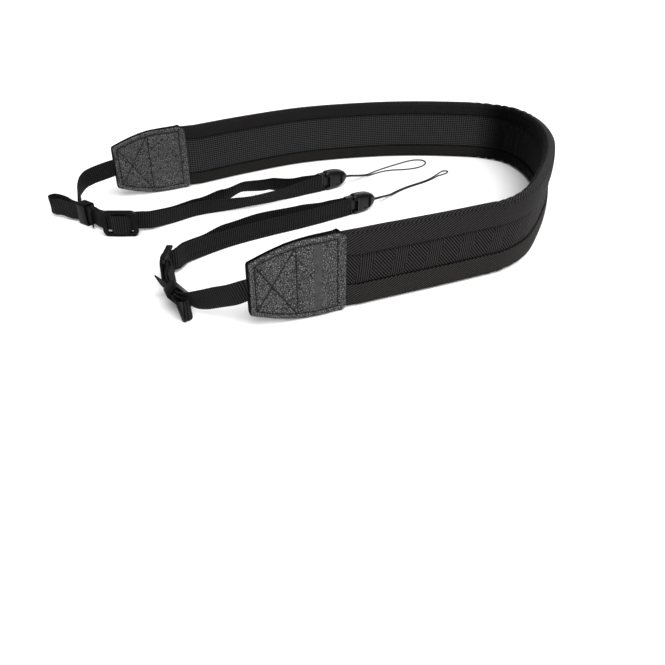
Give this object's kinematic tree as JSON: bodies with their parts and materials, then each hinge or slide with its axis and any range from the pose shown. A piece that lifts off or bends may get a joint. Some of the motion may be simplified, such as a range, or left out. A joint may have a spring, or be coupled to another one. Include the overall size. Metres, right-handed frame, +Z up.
{
  "type": "camera neck strap",
  "caption": "Padded camera neck strap lying in a U on its long edge, with leather tabs, narrow webbing, sliders, quick-release buckles and thin cord loops.",
  "frame": {"origin": "middle of the strap's footprint, without the cord loops, on the surface that it lies on", "axes": "+Z up, the height of the band standing on its edge; +X from the open side of the U towards its bend; +Y from the near arm to the far arm"},
  "size_m": [0.3156, 0.2487, 0.0416],
  "materials": {
    "foam_core": "closed-cell foam inside the padded band, hidden by its facings",
    "air_mesh": "black air mesh with a fine dotted knit",
    "chevron_fabric": "black ribbed fabric woven in slanting chevron blocks",
    "twill_binding": "black twill binding with slanting ribs and a stitch row",
    "leather": "pebbled black leather with dark cut edges and sunken stitching",
    "webbing": "black nylon webbing with fine ribs across it",
    "fitting_plastic": "black moulded acetal, fine matte texture",
    "buckle_plastic": "black moulded acetal, satin",
    "cord": "black braided cord under a millimetre thick"
  },
  "bodies": {
    "root": {"neck_pad": "foam_core", "mesh_lining": "air_mesh", "chevron_panel": "chevron_fabric", "upper_binding": "twill_binding", "lower_binding": "twill_binding", "far_tab_outer": "leather", "far_tab_inner": "leather", "far_webbing": "webbing", "far_keeper": "fitting_plastic", "far_slider": "fitting_plastic", "far_buckle_prong": "buckle_plastic", "far_buckle_socket": "buckle_plastic", "far_cord": "cord", "near_tab_outer": "leather", "near_tab_inner": "leather", "near_webbing": "webbing", "near_keeper": "fitting_plastic", "near_slider": "fitting_plastic", "near_buckle_prong": "buckle_plastic", "near_buckle_socket": "buckle_plastic", "near_cord": "cord"}
  },
  "joints": []
}
